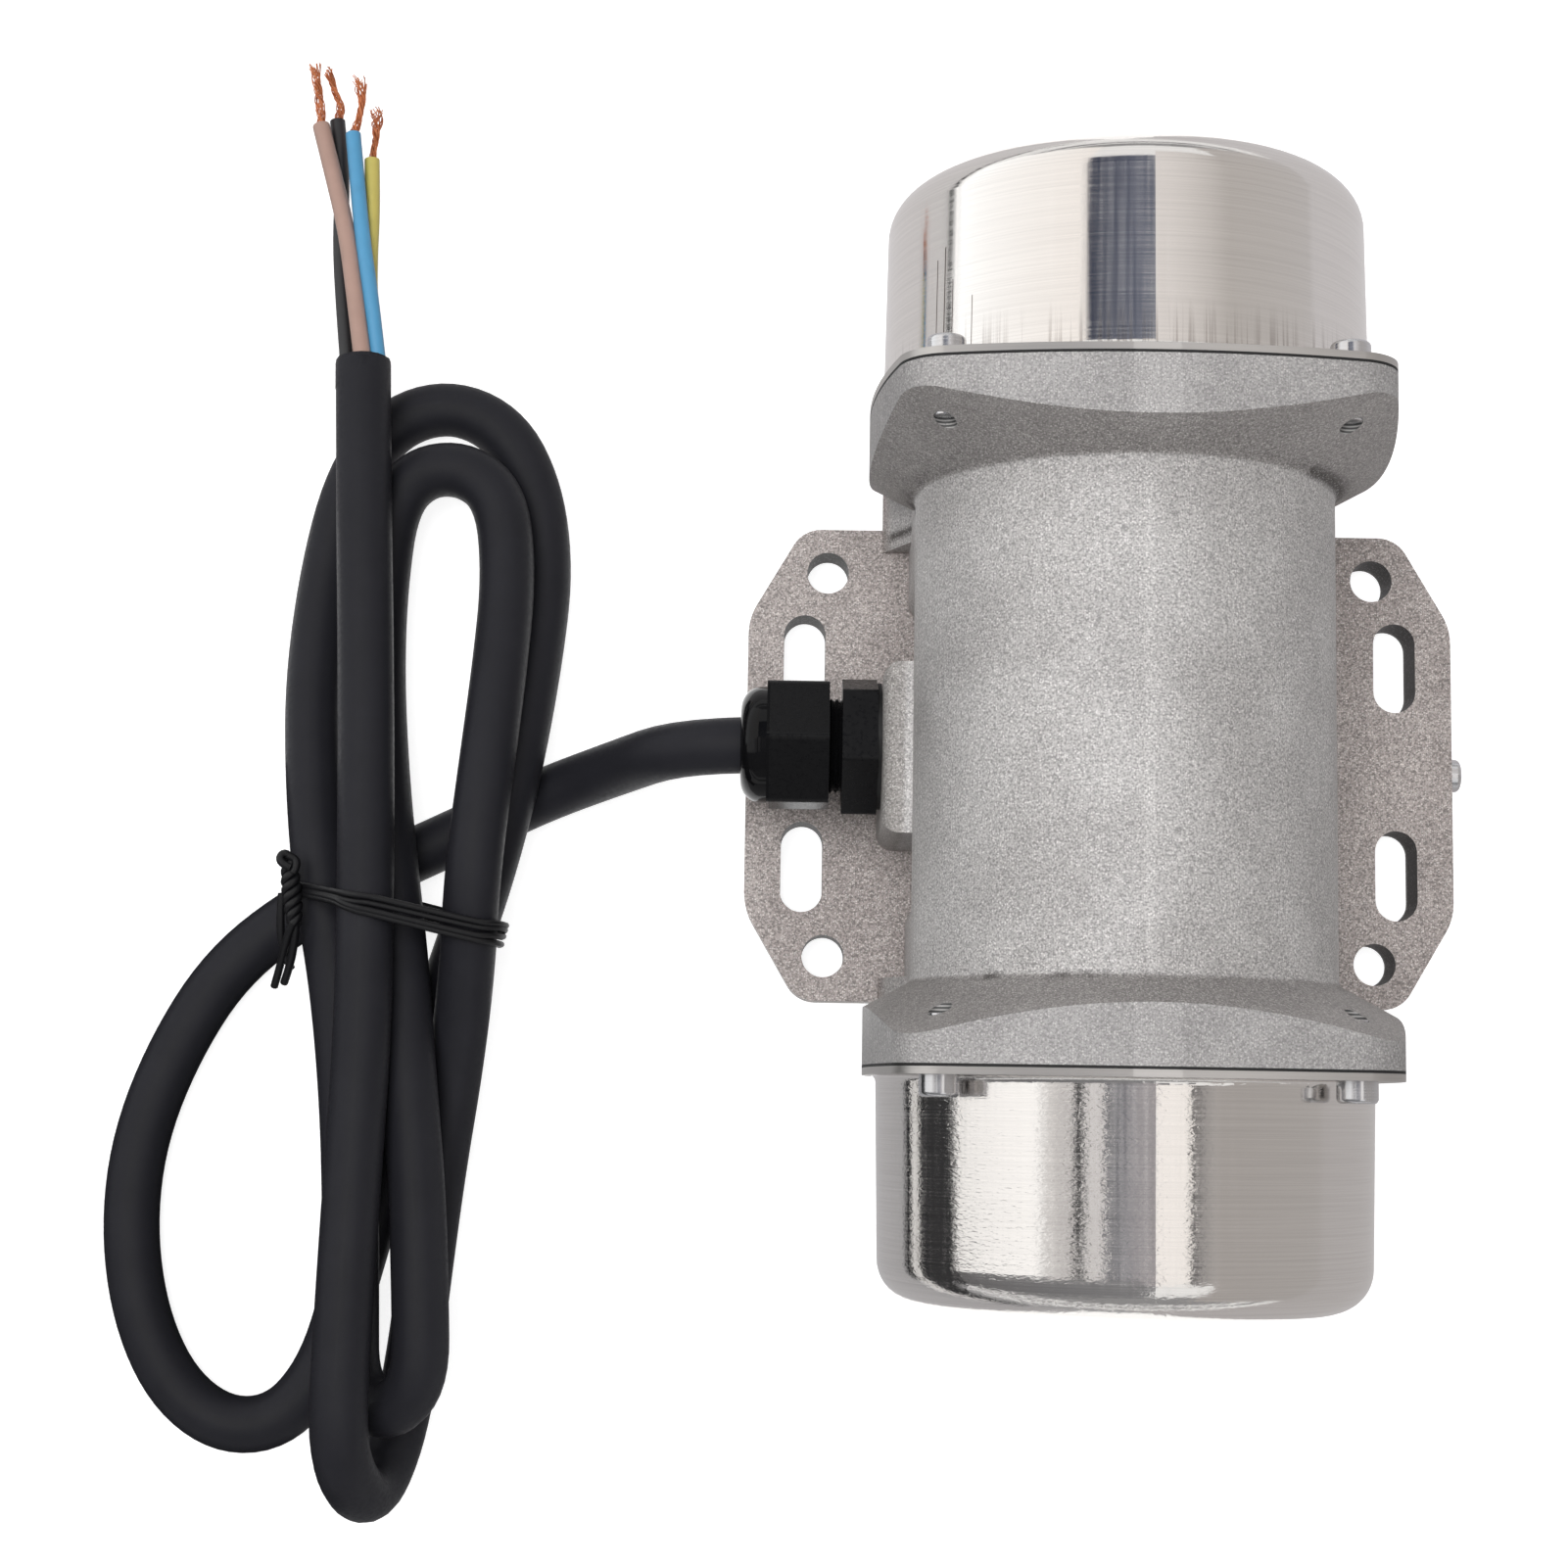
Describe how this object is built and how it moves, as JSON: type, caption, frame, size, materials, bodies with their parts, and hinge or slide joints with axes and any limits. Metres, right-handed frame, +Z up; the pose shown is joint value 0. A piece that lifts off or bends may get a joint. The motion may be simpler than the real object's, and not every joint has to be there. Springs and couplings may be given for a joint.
{
  "type": "vibration motor",
  "caption": "Foot-mounted vibration motor: cast housing, deep-drawn end covers over eccentric shaft weights, cable gland and a tied hank of supply cable.",
  "frame": {"origin": "centre of the foot's bottom face, under the middle of the shaft", "axes": "+Z up from the foot, +Y along the shaft, +X across the feet away from the cable gland"},
  "size_m": [0.2092, 0.2272, 0.075],
  "materials": {
    "cast_aluminium": "blasted raw casting with a fine bright grain",
    "cover_stainless": "polished stainless with fine brushing round the cup",
    "screw_steel": "bright plated steel",
    "shaft_steel": "ground steel",
    "bearing_steel": "ground bearing steel",
    "weight_steel": "plain cut steel plate",
    "lamination_steel": "stacked electrical steel",
    "cage_aluminium": "die-cast",
    "winding_copper": "varnished copper wire",
    "gasket_rubber": "matt black",
    "gland_nylon": "black nylon, glossy on the dome",
    "cable_rubber": "matt black with faint dust",
    "core_brown": "smooth",
    "core_black": "smooth",
    "core_blue": "smooth",
    "core_green_yellow": "green with a yellow stripe",
    "core_copper": "twisted bare strands",
    "tie_plastic": "black"
  },
  "bodies": {
    "housing": {"motor_housing": "cast_aluminium", "stator_core": "lamination_steel", "stator_windings": "winding_copper", "bearing_outer_ring_rear": "bearing_steel", "end_shield_rear": "cast_aluminium", "end_shield_screws_rear": "screw_steel", "cover_gasket_rear": "gasket_rubber", "end_cover_rear": "cover_stainless", "cover_screws_rear": "screw_steel", "bearing_outer_ring_front": "bearing_steel", "end_shield_front": "cast_aluminium", "end_shield_screws_front": "screw_steel", "cover_gasket_front": "gasket_rubber", "end_cover_front": "cover_stainless", "cover_screws_front": "screw_steel", "gland_washer": "gasket_rubber", "gland_body": "gland_nylon", "gland_seal": "gasket_rubber", "gland_nut": "gland_nylon", "earth_screw": "screw_steel", "cable": "cable_rubber", "core_brown": "core_brown", "core_black": "core_black", "core_blue": "core_blue", "core_earth": "core_green_yellow", "core_copper": "core_copper", "cable_tie": "tie_plastic"},
    "rotor": {"rotor_core": "lamination_steel", "rotor_cage": "cage_aluminium", "shaft": "shaft_steel", "bearing_inner_ring_rear": "bearing_steel", "spacer_rear": "shaft_steel", "inner_weight_rear": "weight_steel", "weight_key_rear": "shaft_steel", "shaft_circlip_rear": "screw_steel", "bearing_inner_ring_front": "bearing_steel", "spacer_front": "shaft_steel", "inner_weight_front": "weight_steel", "weight_key_front": "shaft_steel", "shaft_circlip_front": "screw_steel"},
    "outer_weight_rear": {"outer_weight_rear": "weight_steel", "outer_weight_bolt_rear": "screw_steel"},
    "outer_weight_front": {"outer_weight_front": "weight_steel", "outer_weight_bolt_front": "screw_steel"}
  },
  "joints": [
    {"name": "rotor_spin", "type": "hinge", "parent": "housing", "child": "rotor", "pos_m": [0, 0, 0.038], "axis": [0, 1, 0], "continuous": true},
    {"name": "outer_weight_rear_setting", "type": "hinge", "parent": "rotor", "child": "outer_weight_rear", "pos_m": [0, 0.0655, 0.038], "axis": [0, 1, 0], "range_deg": [0, 180]},
    {"name": "outer_weight_front_setting", "type": "hinge", "parent": "rotor", "child": "outer_weight_front", "pos_m": [0, -0.0655, 0.038], "axis": [0, 1, 0], "range_deg": [0, 180]}
  ]
}
